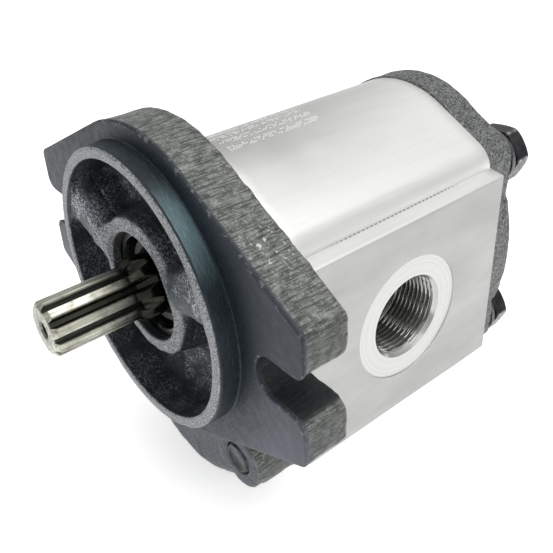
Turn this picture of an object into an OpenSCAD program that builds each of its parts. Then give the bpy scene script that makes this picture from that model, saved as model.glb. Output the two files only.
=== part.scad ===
// External gear pump with an SAE A two-bolt flange and a splined shaft.
// Millimetres. +Y runs back from the mounting face along the drive shaft, +Z is up.
// The origin is the centre of the pilot on the mounting face, so the shaft points to -Y.

/* [Mounting flange] */
// Diameter of the mounting pilot
pilot_d = 82.55; // [81.5:0.05:83.5]
// Height of the pilot in front of the mounting face
pilot_h = 6.35; // [6:0.05:7]
// Inner diameter of the pilot ring
pilot_bore_d = 75.3; // [74:0.1:77]
// Thickness of the flange ears
ear_t = 14.3; // [12:0.1:16]
// Radius of the flange above the shaft
flange_r = 46.6; // [45:0.1:48]
// Width of the flange over both ears
flange_w = 129.4; // [127:0.2:132]
// Distance between the two mounting bolts
slot_pitch = 106.4; // [105:0.1:108]
// Width of each mounting slot
slot_w = 11.9; // [11:0.1:12.4]

/* [Body] */
// Depth of the front cover from the mounting face to the body
cover_depth = 20.5; // [18:0.5:22]
// Length of the aluminium body
body_l = 80; // [72:1:90]
// Distance between the two gear axes
gear_gap = 39; // [38.6:0.1:39.4]
// Radius of the round top and bottom of the body about each gear axis
arch_r = 33.3; // [32.5:0.1:34]
// Width over the two port faces
port_face_w = 83.2; // [82:0.2:86]
// Height of each port face
port_face_h = 66.4; // [64:0.2:68]
// Thickness of the rear cover
rear_t = 12; // [10:0.5:16]

/* [Ports] */
// Minor diameter of the threaded port
port_d = 25.2; // [24:0.1:26]
// Depth of the threaded port from the port face
port_depth = 18; // [14:0.5:18.5]
// Diameter of the machined seat round each port
port_seat_d = 40.8; // [39:0.2:42]

/* [Gears and shaft] */
// Number of teeth on each gear
teeth = 12; // [12]
// Face width of each gear
gear_w = 36; // [24:1:44]
// Outside diameter of each gear
gear_d = 43.9; // [43.5:0.1:43.9]
// Diameter of the shaft journals
journal_d = 18; // [17:0.1:18]
// Outside diameter of the shaft spline
spline_d = 15.46; // [15:0.02:15.9]
// Number of spline teeth
spline_teeth = 9; // [9]
// Length of shaft in front of the mounting face
shaft_out = 31.75; // [30:0.25:33]

/* [Bolts] */
// Distance between the body bolts across the pump
bolt_span_x = 55; // [54:0.5:57]
// Distance between the upper and the lower body bolts
bolt_span_z = 61.4; // [60:0.2:63]
// Thread diameter of the body bolts
bolt_d = 10; // [10]
// Width across the flats of the bolt heads
bolt_af = 17; // [16:1:17]

/* [Hidden] */
$fn = 96;

body_y0 = cover_depth;
body_y1 = body_y0 + body_l;
rear_y1 = body_y1 + rear_t;
mid_y = (body_y0 + body_y1) / 2;
mid_z = -gear_gap / 2;
gear_y0 = mid_y - gear_w / 2;
gear_y1 = mid_y + gear_w / 2;

// The long edges of the flange and of the body slope down to each side at this angle
slope = 27.3;
uphill = [sin(slope), cos(slope)];

// Ear corners: a small round whose outer side is the flange's end
ear_round = 3;
ear_x = flange_w / 2 - ear_round;
ear_z = (flange_r - ear_round - ear_x * uphill.x) / uphill.y;

// Body shoulders: rounds over the bolts, tangent to the sloping edges
shoulder_r = 9;
shoulder_x = 27.6;
shoulder_z = (arch_r - shoulder_r - shoulder_x * uphill.x) / uphill.y;
port_face_x = port_face_w / 2;

// Seal cavity, seal boss and cast pockets inside the pilot ring
seal_r = 16;
seal_boss_r = 20.4;
seal_boss_y = -3.4;
bolt_boss_r = 8.8;
bolt_boss_y = -4.6;
pocket_y = 8;
seal_seat_y = 9;

// Lower lobe of the front cover: a bevel from a smaller round face out to the body outline
lobe_face_y = 5;
lobe_bevel = 3.6;
lobe_rim_y = lobe_face_y + lobe_bevel;

bore_clear = 0.05;
chamber_r = gear_d / 2 + bore_clear;
block_r = chamber_r - 0.03;
journal_r = journal_d / 2;
bush_r = 10.5;
bolt_top = mid_z + bolt_span_z / 2;
bolt_low = mid_z - bolt_span_z / 2;
bolt_spots = [for (x = [-1, 1], z = [bolt_top, bolt_low]) [x * bolt_span_x / 2, z]];
head_h = 6.4;
washer_t = 1.6;
bolt_y0 = lobe_face_y;
bolt_y1 = rear_y1 + washer_t;
dowel_r = 3;
dowel_x = 31;
dowel_half = 7;

seal_ring_r = 22.9;
seal_ring_w = 1.2;
seal_ring_deep = 1;
balance_r = 17.2;
balance_waist = 6.2;
balance_w = 1.4;
backup_w = 1;
balance_deep = 2;

// ---- helpers -------------------------------------------------------------

// Extrudes an outline drawn in X and Z from y0 back to y1
module slab(y0, y1) {
    translate([0, y1, 0]) rotate([90, 0, 0]) linear_extrude(y1 - y0) children();
}

// Turns a profile of [radius, y] points about the Y axis
module turned() {
    rotate([-90, 0, 0]) rotate_extrude() children();
}

// Round bar along Y
module rod(y0, y1, r) {
    translate([0, y0, 0]) rotate([-90, 0, 0]) cylinder(h = y1 - y0, r = r);
}

// Round bar along Y whose radius changes from ra to rb
module cone(y0, y1, ra, rb) {
    translate([0, y0, 0]) rotate([-90, 0, 0]) cylinder(h = y1 - y0, r1 = ra, r2 = rb);
}

// Two circles and the area between their outer tangents
module belt(a, ra, b, rb) {
    span = b - a;
    heading = atan2(span.y, span.x);
    lean = acos((ra - rb) / norm(span));
    left = [cos(heading + lean), sin(heading + lean)];
    right = [cos(heading - lean), sin(heading - lean)];
    translate(a) circle(ra);
    translate(b) circle(rb);
    polygon([a + ra * left, a + ra * right, b + rb * right, b + rb * left]);
}

// Children on both sides of the X = 0 plane
module both_sides() {
    for (side = [0, 1]) mirror([side, 0]) children();
}

// Children above and below the plane midway between the gears
module both_gears() {
    children();
    translate([0, 2 * mid_z]) mirror([0, 1]) children();
}

// Children at each body bolt
module at_bolts() {
    for (spot = bolt_spots) translate([spot.x, 0, spot.y]) children();
}

// ---- outlines ------------------------------------------------------------

// Rounded over the shaft, pointed below it, with a slotted ear on each side
module flange_outline() {
    point = [0, -flange_r / uphill.y];
    corner = [ear_x, -ear_z] + ear_round * [uphill.x, -uphill.y];
    difference() {
        union() {
            intersection() {
                both_sides() belt([0, 0], flange_r, [ear_x, ear_z], ear_round);
                translate([-flange_w, -5]) square(2 * flange_w);
            }
            both_sides() translate([ear_x, -ear_z]) circle(ear_round);
            square([flange_w, 2 * ear_z], center = true);
            polygon([point, corner, [ear_x, 0], [-ear_x, 0], [-corner.x, corner.y]]);
        }
        both_sides() slot_outline();
    }
}

// Open slot with a round end and a rounded mouth
module slot_outline() {
    r = slot_w / 2;
    mouth = 2.4;
    mouth_x = flange_w / 2 - mouth;
    translate([slot_pitch / 2, 0]) circle(r);
    translate([slot_pitch / 2, -r]) square([flange_w / 2, slot_w]);
    difference() {
        translate([mouth_x, -r - mouth]) square([2 * mouth, slot_w + 2 * mouth]);
        for (side = [-1, 1]) translate([mouth_x, side * (r + mouth)]) circle(mouth);
    }
}

// Body outline without the port faces: an arch over each gear, sloping edges and shoulders
module barrel_outline() {
    both_gears() both_sides() belt([0, 0], arch_r, [shoulder_x, shoulder_z], shoulder_r);
    half = [shoulder_x + shoulder_r, shoulder_z - mid_z];
    translate([0, mid_z]) square(2 * half, center = true);
}

module body_outline() {
    barrel_outline();
    translate([0, mid_z]) square([port_face_w, port_face_h], center = true);
}

// Two overlapping circles on the gear axes
module figure_eight(r) {
    for (z = [0, -gear_gap]) translate([0, z]) circle(r);
}

// Loop round both journals with a straight waist
module balance_outline(grow) {
    figure_eight(balance_r + grow);
    translate([0, mid_z]) square([2 * (balance_waist + grow), gear_gap], center = true);
}

// ---- housings ------------------------------------------------------------

module front_cover() {
    color("dimgray") difference() {
        union() {
            slab(0, ear_t) flange_outline();
            slab(lobe_rim_y, cover_depth) barrel_outline();
            translate([0, 0, 2 * mid_z]) cone(lobe_face_y, lobe_rim_y, arch_r - lobe_bevel, arch_r);
            slab(lobe_face_y, cover_depth) for (x = [-1, 1]) {
                translate([x * bolt_span_x / 2, bolt_low]) circle(bolt_boss_r + 1);
            }
            pilot_ring();
        }
        pilot_recess();
        rod(seal_boss_y - 10, seal_seat_y, seal_r);
        rod(0, cover_depth + 1, journal_r + 0.6);
        rod(-0.35, 1.15, seal_r + 1);
        bolt_threads();
        slab(cover_depth - dowel_half, cover_depth + 1) dowel_spots() circle(dowel_r);
    }
}

module pilot_ring() {
    r = pilot_d / 2;
    bevel = 0.8;
    turned() polygon([[0, 1], [0, -pilot_h], [r - bevel, -pilot_h], [r, bevel - pilot_h], [r, 1]]);
}

// What is cast away inside the pilot ring: all but the seal boss, two bolt bosses and their webs
module pilot_recess() {
    bolt = [bolt_span_x / 2, bolt_top];
    difference() {
        rod(-pilot_h - 1, pocket_y, pilot_bore_d / 2);
        rod(seal_boss_y, pocket_y + 1, seal_boss_r);
        slab(bolt_boss_y, pocket_y + 1) both_sides() {
            translate(bolt) circle(bolt_boss_r);
            belt(bolt, bolt_boss_r - 1.2, 1.45 * bolt, bolt_boss_r + 1);
        }
        slab(seal_boss_y, pocket_y + 1) both_sides() belt([0, 0], 8, bolt, 6);
    }
}

// Lower bolts come out through the lobe, upper bolts end inside their bosses
module bolt_threads() {
    for (spot = bolt_spots) translate([spot.x, 0, spot.y]) {
        rod(spot.y > mid_z ? lobe_face_y - 1.5 : lobe_face_y - 10, cover_depth + 1, bolt_d / 2 + 0.01);
    }
}

module dowel_spots() {
    both_sides() translate([dowel_x, mid_z]) children();
}

module body() {
    color("gainsboro") difference() {
        slab(body_y0, body_y1) body_outline();
        slab(body_y0 - 1, body_y1 + 1) figure_eight(chamber_r);
        at_bolts() rod(body_y0 - 1, body_y1 + 1, bolt_d / 2 + 0.25);
        for (side = [0, 1]) mirror([side, 0, 0]) port_cut();
        for (y = [body_y0, body_y1]) slab(y - seal_ring_deep, y + seal_ring_deep) difference() {
            figure_eight(seal_ring_r + seal_ring_w);
            figure_eight(seal_ring_r);
        }
        for (y = [body_y0, body_y1]) slab(y - dowel_half, y + dowel_half) dowel_spots() circle(dowel_r);
    }
}

// Threaded port in the +X face: shallow seat, lead-in bevel, tapped bore and a drilling to the gears
module port_cut() {
    seat_deep = 0.4;
    bevel = 1.9;
    r = port_d / 2;
    translate([port_face_x, mid_y, mid_z]) rotate([0, -90, 0]) {
        translate([0, 0, -1]) cylinder(h = 1 + seat_deep, d = port_seat_d);
        translate([0, 0, seat_deep]) cylinder(h = bevel, r1 = r + bevel, r2 = r);
        translate([0, 0, -1]) cylinder(h = port_depth + 1, r = r);
        cylinder(h = port_face_x - 5, r = 9);
    }
}

module rear_cover() {
    pad_r = 73;
    pad_x = 40.2;
    color("dimgray") difference() {
        slab(body_y1, rear_y1) {
            barrel_outline();
            figure_eight(arch_r + 0.6);
            both_sides() intersection() {
                translate([pad_x - pad_r, mid_z]) circle(pad_r, $fn = 360);
                translate([0, mid_z - 19.8]) square([port_face_x, 39.6]);
            }
        }
        at_bolts() rod(body_y1 - 1, rear_y1 + 1, bolt_d / 2 + 0.25);
        slab(body_y1 - 1, body_y1 + dowel_half) dowel_spots() circle(dowel_r);
    }
}

// ---- gears and shafts ----------------------------------------------------

// Point on the involute of a base circle, at radius r and turned by start
function involute(base, r, start) =
    let (roll = sqrt(pow(r / base, 2) - 1))
    let (turn = start + roll * 180 / PI - atan(roll))
    r * [cos(turn), sin(turn)];

// Spur gear outline with one tooth pointing to +X
module gear_outline() {
    pitch_r = gear_gap / 2;
    tip_r = gear_d / 2;
    root_r = gear_gap - tip_r - 0.45;
    base_r = pitch_r * cos(20);
    backlash = 0.5;
    steps = 7;
    start = -90 / teeth + backlash - (tan(20) * 180 / PI - 20);
    flank = [for (i = [0 : steps]) involute(base_r, base_r + (tip_r - base_r) * i / steps, start)];
    far_flank = [for (i = [steps : -1 : 0]) [flank[i].x, -flank[i].y]];
    foot = root_r * [cos(start), sin(start)];
    circle(root_r);
    intersection() {
        circle(tip_r);
        for (i = [0 : teeth - 1]) rotate(i * 360 / teeth) {
            polygon(concat([[0, 0], foot], flank, [[tip_r + 1, 0]], far_flank, [[foot.x, -foot.y]]));
        }
    }
}

// Grooves between the spline teeth, with a sloping run-out into the larger shaft
module spline_grooves() {
    bottom_r = 6.2;
    tail_y = -6.5;
    for (i = [0 : spline_teeth - 1]) rotate([0, (i + 0.5) * 360 / spline_teeth, 0]) {
        translate([0, 0, bottom_r]) {
            slab(-shaft_out - 1, tail_y) groove_outline();
            translate([0, tail_y, 0]) rotate([28, 0, 0]) slab(-2, 9) groove_outline();
        }
    }
}

module groove_outline() {
    polygon([[-0.8, 0], [0.8, 0], [3.1, 4], [-3.1, 4]]);
}

module drive_gear_shaft() {
    bevel = 1.2;
    spline_r = spline_d / 2;
    color("silver") difference() {
        union() {
            turned() polygon([
                [0, -shaft_out], [spline_r - bevel, -shaft_out], [spline_r, bevel - shaft_out],
                [spline_r, -8], [journal_r, -4.5], [journal_r, body_y1 - 1.2],
                [journal_r - 0.5, body_y1 - 0.7], [0, body_y1 - 0.7]
            ]);
            slab(gear_y0, gear_y1) rotate(-90) gear_outline();
        }
        spline_grooves();
        rod(-shaft_out - 1, 8 - shaft_out, 2.1);
        cone(-shaft_out - 0.01, 1.6 - shaft_out, 3.7, 2.1);
    }
}

module driven_gear_shaft() {
    color("silver") translate([0, 0, -gear_gap]) {
        turned() polygon([
            [0, body_y0 + 0.7], [journal_r - 0.5, body_y0 + 0.7], [journal_r, body_y0 + 1.2],
            [journal_r, body_y1 - 1.2], [journal_r - 0.5, body_y1 - 0.7], [0, body_y1 - 0.7]
        ]);
        slab(gear_y0, gear_y1) rotate(90 + 180 / teeth) gear_outline();
    }
}

// ---- bearings ------------------------------------------------------------

// Bearing block between two planes, its pressure side at face_y
module bearing_block(y0, y1, face_y) {
    color("lightsteelblue") difference() {
        slab(y0, y1) figure_eight(block_r);
        slab(y0 - 1, y1 + 1) figure_eight(bush_r);
        slab(face_y - balance_deep, face_y + balance_deep) difference() {
            balance_outline(balance_w + backup_w);
            balance_outline(0);
        }
    }
}

module front_bearing_block() {
    bearing_block(body_y0 + 0.1, gear_y0 - 0.1, body_y0 + 0.1);
}

module rear_bearing_block() {
    bearing_block(gear_y1 + 0.1, body_y1 - 0.1, body_y1 - 0.1);
}

module bush(y0, y1) {
    color("peru") difference() {
        rod(y0, y1, bush_r - 0.01);
        rod(y0 - 1, y1 + 1, journal_r + 0.02);
    }
}

module front_drive_bush() {
    bush(body_y0 + 0.4, gear_y0 - 0.4);
}

module rear_drive_bush() {
    bush(gear_y1 + 0.4, body_y1 - 0.4);
}

module front_driven_bush() {
    translate([0, 0, -gear_gap]) bush(body_y0 + 0.4, gear_y0 - 0.4);
}

module rear_driven_bush() {
    translate([0, 0, -gear_gap]) bush(gear_y1 + 0.4, body_y1 - 0.4);
}

// ---- shaft seal ----------------------------------------------------------

module shaft_seal_case() {
    outer = seal_r - 0.02;
    color("slategray") turned() polygon([
        [outer, 1.5], [outer, 8.6], [11, 8.6], [11, 7.4], [outer - 1.3, 7.4], [outer - 1.3, 1.5]
    ]);
}

module shaft_seal_lip() {
    tip = journal_r + 0.05;
    color("black") difference() {
        turned() polygon([
            [14.6, 7.38], [14.6, 5.6], [12.4, 5.6], [12.2, 1.9],
            [tip + 1, 1.9], [tip, 3.6], [tip + 1.1, 6], [tip + 1.9, 7.38]
        ]);
        turned() translate([12.2, 3.6]) circle(0.72, $fn = 32);
    }
}

module shaft_seal_spring() {
    color("silver") turned() translate([12.2, 3.6]) circle(0.7, $fn = 32);
}

// Open ring that springs out into the groove in front of the seal
module seal_retaining_ring() {
    color("dimgray") slab(-0.3, 1.1) difference() {
        circle(seal_r + 0.9);
        circle(seal_r - 2);
        translate([-2.5, -seal_r - 2]) square([5, 6]);
    }
}

// ---- seals and dowels ----------------------------------------------------

module body_seal(y0, y1) {
    color("black") slab(y0, y1) difference() {
        figure_eight(seal_ring_r + seal_ring_w - 0.03);
        figure_eight(seal_ring_r + 0.03);
    }
}

module front_body_seal() {
    body_seal(body_y0 + 0.01, body_y0 + seal_ring_deep - 0.02);
}

module rear_body_seal() {
    body_seal(body_y1 - seal_ring_deep + 0.02, body_y1 - 0.01);
}

// Loop that fills part of the groove in a bearing block, from grow to grow + width
module balance_ring(y0, y1, grow, width) {
    slab(y0, y1) difference() {
        balance_outline(grow + width - 0.02);
        balance_outline(grow + 0.02);
    }
}

module front_pressure_seal() {
    color("black") balance_ring(body_y0 + 0.02, body_y0 + 0.1 + balance_deep, 0, balance_w);
}

module rear_pressure_seal() {
    color("black") balance_ring(body_y1 - 0.1 - balance_deep, body_y1 - 0.02, 0, balance_w);
}

module front_backup_ring() {
    color("ivory") balance_ring(body_y0 + 0.02, body_y0 + 0.1 + balance_deep, balance_w, backup_w);
}

module rear_backup_ring() {
    color("ivory") balance_ring(body_y1 - 0.1 - balance_deep, body_y1 - 0.02, balance_w, backup_w);
}

module dowel_pair(y) {
    color("gray") slab(y - dowel_half + 0.3, y + dowel_half - 0.3) dowel_spots() difference() {
        circle(dowel_r - 0.01);
        circle(1.6);
    }
}

module front_dowels() {
    dowel_pair(body_y0);
}

module rear_dowels() {
    dowel_pair(body_y1);
}

// ---- bolts ---------------------------------------------------------------

module through_bolts() {
    r = bolt_d / 2;
    tip = 0.9;
    corner_r = bolt_af / 2 / cos(30);
    head_turn = 5;
    color("#202226") at_bolts() {
        cone(bolt_y0, bolt_y0 + tip, r - tip, r);
        rod(bolt_y0 + tip, bolt_y1 + 1, r);
        intersection() {
            slab(bolt_y1, bolt_y1 + head_h) rotate(head_turn) circle(corner_r, $fn = 6);
            cone(bolt_y1, bolt_y1 + head_h, corner_r + 3, corner_r - 0.6);
        }
    }
}

module bolt_washers() {
    color("#303236") at_bolts() difference() {
        rod(rear_y1, rear_y1 + washer_t, bolt_d / 2 + 4);
        rod(rear_y1 - 1, rear_y1 + washer_t + 1, bolt_d / 2 + 0.2);
    }
}

front_cover();
body();
rear_cover();
drive_gear_shaft();
driven_gear_shaft();
front_bearing_block();
rear_bearing_block();
front_drive_bush();
rear_drive_bush();
front_driven_bush();
rear_driven_bush();
shaft_seal_case();
shaft_seal_lip();
shaft_seal_spring();
seal_retaining_ring();
front_body_seal();
rear_body_seal();
front_pressure_seal();
rear_pressure_seal();
front_backup_ring();
rear_backup_ring();
front_dowels();
rear_dowels();
through_bolts();
bolt_washers();
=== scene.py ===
"""Looks of the gear pump: cast covers, aluminium body, splined shaft, bolts and seals.

Lengths are millimetres in the CAD's frame until a mesh is made: the shaft points to -Y, +Z is up
and the origin is the pilot's centre on the mounting face.
"""

import math

import bpy
import numpy as np
from mathutils import Matrix, Vector


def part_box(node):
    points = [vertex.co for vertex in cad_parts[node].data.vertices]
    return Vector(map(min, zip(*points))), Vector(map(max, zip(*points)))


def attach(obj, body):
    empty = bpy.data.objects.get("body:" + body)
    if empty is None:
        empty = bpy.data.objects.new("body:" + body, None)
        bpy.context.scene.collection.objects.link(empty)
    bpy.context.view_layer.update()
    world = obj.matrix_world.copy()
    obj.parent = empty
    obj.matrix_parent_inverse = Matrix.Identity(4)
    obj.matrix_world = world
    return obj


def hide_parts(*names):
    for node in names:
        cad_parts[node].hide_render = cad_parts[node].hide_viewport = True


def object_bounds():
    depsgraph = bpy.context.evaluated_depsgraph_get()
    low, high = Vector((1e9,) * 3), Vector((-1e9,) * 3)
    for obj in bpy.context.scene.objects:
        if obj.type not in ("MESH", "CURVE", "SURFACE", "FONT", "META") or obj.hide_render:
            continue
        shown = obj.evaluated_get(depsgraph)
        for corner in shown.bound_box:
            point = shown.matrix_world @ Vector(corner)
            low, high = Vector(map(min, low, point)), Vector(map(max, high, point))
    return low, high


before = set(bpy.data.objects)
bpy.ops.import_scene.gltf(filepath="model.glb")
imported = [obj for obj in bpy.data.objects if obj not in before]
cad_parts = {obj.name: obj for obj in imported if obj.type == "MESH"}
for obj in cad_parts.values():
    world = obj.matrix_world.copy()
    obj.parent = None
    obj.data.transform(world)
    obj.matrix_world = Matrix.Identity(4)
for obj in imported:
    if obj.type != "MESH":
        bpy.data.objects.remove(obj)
cad_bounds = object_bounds()
MM = 0.001


def low(node):
    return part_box(node)[0] / MM


def high(node):
    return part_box(node)[1] / MM


# ---- sizes ----

SLOPE = math.radians(27.3)
SIN, COS = math.sin(SLOPE), math.cos(SLOPE)

COVER_BACK = low("body").y
BODY_BACK = high("body").y
REAR_BACK = high("rear_cover").y
PORT_FACE_X = high("body").x
EAR_END = high("front_cover").x
FLANGE_R = high("front_cover").z
ARCH_R = high("body").z
GEAR_GAP = -(low("body").z + ARCH_R)
MID_Z = -GEAR_GAP / 2
MID_Y = (COVER_BACK + BODY_BACK) / 2
SHAFT_TIP = low("drive_gear_shaft").y
BOLT_BACK = high("through_bolts").y
WASHER_BACK = high("bolt_washers").y

EAR_T = 14.3
EAR_ROUND = 3
EAR_X = EAR_END - EAR_ROUND
EAR_Z = (FLANGE_R - EAR_ROUND - EAR_X * SIN) / COS
SLOT_X = 53.2
SLOT_R = 5.95

PIT_AT = (36, 8.6, -33)
PIT_WIDTHS = (1, 1.2, 1.6)
PIT_R = 1.6

PILOT_R = 41.275
PILOT_FRONT = -6.35
PILOT_BORE_R = 37.65
POCKET_Y = 8
SEAL_R = 16
SEAL_BOSS_R = 20.4
SEAL_BOSS_Y = -3.4
SEAL_SEAT_Y = 9
BOLT_BOSS_R = 8.8
BOLT_BOSS_Y = -4.6

SHOULDER_X = 27.6
SHOULDER_R = 9
SHOULDER_Z = (ARCH_R - SHOULDER_R - SHOULDER_X * SIN) / COS
LEDGE_Z = 13.75

PAD_R = 73
PAD_HALF_HEIGHT = 19.8
SPOT_FACE_R = 10.2

LOBE_Y = 5
LOBE_BEVEL = 3.6

BOLT_X = 27.5
BOLT_TOP = 11.2
BOLT_LOW = 2 * MID_Z - BOLT_TOP
BOLT_R = 5
BOLT_FLATS = 8.5
BOLT_TURN = 5
WASHER_R = 9
BOLT_SPOTS = [(x, z) for x in (-BOLT_X, BOLT_X) for z in (BOLT_TOP, BOLT_LOW)]

SPLINE_TEETH = 9
SPLINE_R = 7.73
SPLINE_ROOT_R = 6.2
JOURNAL_R = 9
GEAR_WIDTH = 36
GEAR_TEETH = 12
GEAR_TIP_R = 21.95
CENTRE_HOLE = [(1.6, 3.7), (2.1, 2.9), (2.1, 0.5), (2.6, 0.0)]

CHAMBER_R = 22
PORT_R = 12.6
THREAD_PITCH = 1.6
THREAD_DEPTH = 0.95
PORT_DEPTH = 18
DRILLING_R = 9
SEAT_R = 20.4
SEAT_DEEP = 0.4

CHIPS_AT = (45.0, 8.1, 29.2)

DOT_PITCH = 0.85
DOT_ROW = 4.2
DOTS_LEFT, DOTS_RIGHT = -15.5, 5.5
DOTS_FRONT, DOTS_BACK = 27, 60


# ---- distance fields ----

def grid_axes(start, end, step):
    """X, Y and Z coordinates of a grid, shaped so that they broadcast."""
    axes = [np.arange(a - 2 * step, b + 2.5 * step, step, np.float32) for a, b in zip(start, end)]
    return axes[0][:, None, None], axes[1][None, :, None], axes[2][None, None, :]


def blend_union(a, b, size):
    """Union of two fields with a fillet of about that size between them."""
    overlap = np.maximum(size - np.abs(a - b), 0) / size
    return np.minimum(a, b) - overlap * overlap * size / 4


def blend_cut(a, b, size):
    """Field a with b taken out of it, the new edge rounded by about that size."""
    return -blend_union(-a, b, size)


def blend_both(a, b, size):
    """What two fields have in common, the new edge rounded by about that size."""
    return -blend_union(-a, -b, size)


def disc(x, z, centre, radius):
    return np.hypot(x - centre[0], z - centre[1]) - radius


def between(y, front, back):
    return np.maximum(front - y, y - back)


def shouldered(x, z, arc, corner, corner_r, pointed=False):
    """One half of a housing outline: an arc about the origin, a sloping edge, a round corner
    and an upright side. Pointed leaves the arc out, so that the sloping edges meet."""
    x = np.abs(x)
    edge = x * SIN + z * COS - arc
    along = x * COS - z * SIN
    corner_along = corner[0] * COS - corner[1] * SIN
    field = np.where(along > corner_along, disc(x, z, corner, corner_r), edge)
    if not pointed:
        field = np.where(along < 0, np.hypot(x, z) - arc, field)
    return np.where(z < corner[1], x - corner[0] - corner_r, field)


def barrel(x, z):
    """Outline of the body without its port faces, as a field."""
    corner = (SHOULDER_X, SHOULDER_Z)
    upper = shouldered(x, z, ARCH_R, corner, SHOULDER_R)
    lower = shouldered(x, 2 * MID_Z - z, ARCH_R, corner, SHOULDER_R)
    return np.where(z > MID_Z, upper, lower)


def lattice_noise(axes, cell, seed):
    """Smooth random values from -1 to 1 over the grid, with bumps about one cell wide."""
    def weights(axis):
        axis = axis.ravel()
        place = (axis - axis[0]) / cell
        index = place.astype(int)
        part = place - index
        part = part * part * (3 - 2 * part)
        table = np.zeros((len(axis), index.max() + 2), np.float32)
        table[np.arange(len(axis)), index] = 1 - part
        table[np.arange(len(axis)), index + 1] += part
        return table

    tables = [weights(a) for a in axes]
    values = np.random.default_rng(seed).uniform(-1, 1, [t.shape[1] for t in tables])
    for table in tables:
        values = np.tensordot(values.astype(np.float32), table, (0, 1))
    return values


def unevenness(axes, *layers):
    """Depth of a sand casting's skin. Each layer has its depth, the width of its bumps and a seed."""
    return sum(depth * (0.5 + 0.5 * lattice_noise(axes, cell, seed)) for depth, cell, seed in layers)


def sample(field, points):
    """Field value at points given in grid units, between the grid's own values."""
    cell = np.clip(np.floor(points).astype(int), 0, np.array(field.shape) - 2)
    part = points - cell
    total = 0
    for corner in np.ndindex(2, 2, 2):
        weight = np.prod(np.where(np.array(corner) == 1, part, 1 - part), axis=1)
        total = total + weight * field[tuple((cell + corner).T)]
    return total


def slope_at(field, points):
    return np.stack([
        sample(field, points + step) - sample(field, points - step) for step in np.eye(3) * 0.5
    ], 1)


def surface_nets(field):
    """Points and quads of the surface where the field is zero, in grid units."""
    inside = field < 0
    cells_shape = np.array(field.shape) - 1
    count = sum(
        inside[i:i + cells_shape[0], j:j + cells_shape[1], k:k + cells_shape[2]].astype(np.int8)
        for i, j, k in np.ndindex(2, 2, 2)
    )
    active = (count > 0) & (count < 8)
    cells = np.argwhere(active)
    number = np.full(cells_shape, -1, np.int32)
    number[active] = np.arange(len(cells))
    total = np.zeros((len(cells), 3))
    hits = np.zeros(len(cells))
    for axis in range(3):
        along = np.eye(3, dtype=int)[axis]
        for corner in np.ndindex(2, 2, 2):
            if corner[axis]:
                continue
            a = field[tuple((cells + corner).T)]
            b = field[tuple((cells + corner + along).T)]
            crossing = (a < 0) != (b < 0)
            share = np.where(crossing, a / np.where(crossing, a - b, 1), 0)
            total += crossing[:, None] * (np.array(corner) + share[:, None] * along)
            hits += crossing
    points = cells + total / hits[:, None]
    quads = []
    for axis in range(3):
        u, v = np.eye(3, dtype=int)[[(axis + 1) % 3, (axis + 2) % 3]]
        ahead = [slice(None)] * 3
        behind = [slice(None)] * 3
        ahead[axis] = slice(1, None)
        behind[axis] = slice(None, -1)
        spots = np.argwhere(inside[tuple(behind)] != inside[tuple(ahead)])
        ring = [number[tuple((spots - shift).T)] for shift in (0 * u, u, u + v, v)]
        ring = np.stack(ring, 1)
        leaving = inside[tuple(spots.T)]
        ring[~leaving] = ring[~leaving][:, ::-1]
        quads.append(ring)
    return points, np.concatenate(quads)


def scene_object(name, data):
    thing = bpy.data.objects.new(name, data)
    bpy.context.scene.collection.objects.link(thing)
    return thing


def mesh_object(name, points, faces, normals=None):
    """Blender object from points in millimetres. Normals, if given, are one for each point."""
    mesh = bpy.data.meshes.new(name)
    mesh.from_pydata(np.asarray(points) * MM, [], faces)
    mesh.validate()
    mesh.shade_smooth()
    if normals is not None:
        mesh.normals_split_custom_set_from_vertices(normals)
    return scene_object(name, mesh)


def add_attribute(piece, name, values):
    attribute = piece.data.attributes.new(name, "FLOAT", "POINT")
    attribute.data.foreach_set("value", np.asarray(values, np.float32))


def field_object(name, axes, field, step, **zones):
    """Object on the zero surface of a field. It carries how convex each point is, and how far
    each point is in each of the zones, which are grids of values from 0 to 1."""
    points, quads = surface_nets(field)
    for _ in range(2):
        slope = slope_at(field, points)
        size = np.maximum((slope * slope).sum(1), 1e-6)
        move = sample(field, points)[:, None] * slope / size[:, None]
        points = points - np.clip(move, -0.5, 0.5)
    slope = slope_at(field, points)
    normals = slope / np.maximum(np.linalg.norm(slope, axis=1), 1e-6)[:, None]
    reach = 1.2 / step
    ways = np.concatenate([np.eye(3), -np.eye(3)])
    rise = sum(sample(field, points + reach * way) for way in ways)
    origin = np.array([a.ravel()[0] for a in axes])
    piece = mesh_object(name, points * step + origin, quads, normals)
    add_attribute(piece, "edge", np.clip(rise * 0.55, -1, 1))
    for zone, values in zones.items():
        add_attribute(piece, zone, sample(values, points))
    return piece


# ---- cast covers ----

def flange_field(x, y, z):
    """Flange plate: rounded over the shaft, pointed below it, with an open slot in each ear."""
    corner = (EAR_X, EAR_Z)
    upper = shouldered(x, z, FLANGE_R, corner, EAR_ROUND)
    lower = shouldered(x, -z, FLANGE_R, corner, EAR_ROUND, pointed=True)
    outline = np.where(z > 0, upper, lower)
    slot = np.hypot(np.minimum(np.abs(x) - SLOT_X, 0), z) - SLOT_R
    outline = blend_cut(outline, slot, 4.5)
    back = blend_both(outline, y - EAR_T, 1.6)
    return blend_both(back, -y, 0.5)


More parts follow.
